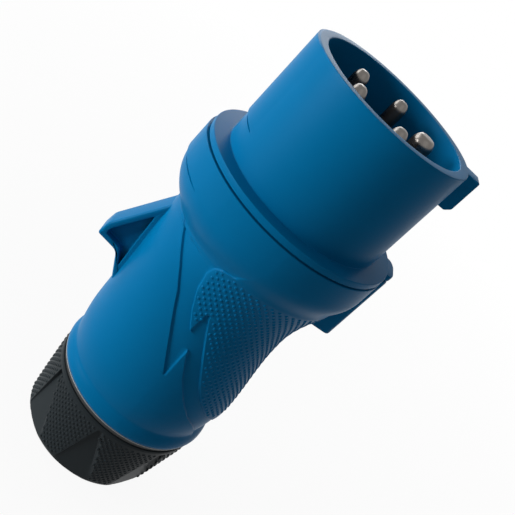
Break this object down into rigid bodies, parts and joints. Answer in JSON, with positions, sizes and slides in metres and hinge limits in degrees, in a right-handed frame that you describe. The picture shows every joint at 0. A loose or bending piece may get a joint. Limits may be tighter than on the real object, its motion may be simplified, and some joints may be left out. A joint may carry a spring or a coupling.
{
  "type": "industrial pin and sleeve plug",
  "caption": "Industrial pin and sleeve plug: keyed sleeve around turned contact pins, waisted handle with rib and raised grip fields, and a screw-on cable gland nut.",
  "frame": {"origin": "centre of the cable opening at the gland nut's rear face, which is the face the plug stands on", "axes": "+Z is the mating direction, from the cable to the sleeve's rim; -Y is the side of the major key, earth pin and locking nose; +Y is the side of the rib; the sleeve's axis is 4.5 mm towards +Y from the gland's"},
  "size_m": [0.069, 0.0749, 0.158],
  "materials": {
    "blue_plastic": "satin gloss moulding",
    "charcoal_plastic": "satin, moulded",
    "grey_plastic": "satin, moulded",
    "black_rubber": "matte rubber",
    "plated_brass": "nickel plated, turned",
    "plated_steel": "zinc plated"
  },
  "bodies": {
    "housing": {"front_housing": "blue_plastic", "handle": "blue_plastic", "housing_seal": "black_rubber", "contact_carrier": "grey_plastic", "terminal_block": "charcoal_plastic", "carrier_screws": "plated_steel", "earth_pin": "plated_brass", "line_1_pin": "plated_brass", "line_2_pin": "plated_brass", "line_3_pin": "plated_brass", "neutral_pin": "plated_brass", "earth_terminal_screw": "plated_steel", "line_1_terminal_screw": "plated_steel", "line_2_terminal_screw": "plated_steel", "line_3_terminal_screw": "plated_steel", "neutral_terminal_screw": "plated_steel", "slip_washer": "grey_plastic", "neck_seal": "black_rubber", "clamp_cage": "grey_plastic", "cable_grommet": "black_rubber"},
    "thrust_ring": {"pressure_ring": "grey_plastic"},
    "nut": {"gland_nut": "charcoal_plastic"}
  },
  "joints": [
    {"name": "nut_advance", "type": "slide", "parent": "housing", "child": "thrust_ring", "axis": [0, 0, -1], "range_m": [0, 0.009]},
    {"name": "gland_nut_turn", "type": "hinge", "parent": "thrust_ring", "child": "nut", "pos_m": [0, 0, 0.01], "axis": [0, 0, -1], "range_deg": [0, 1080]}
  ],
  "couplings": [
    {"joint": "nut_advance", "follows": "gland_nut_turn", "m_per_rad": 0.00047746}
  ]
}
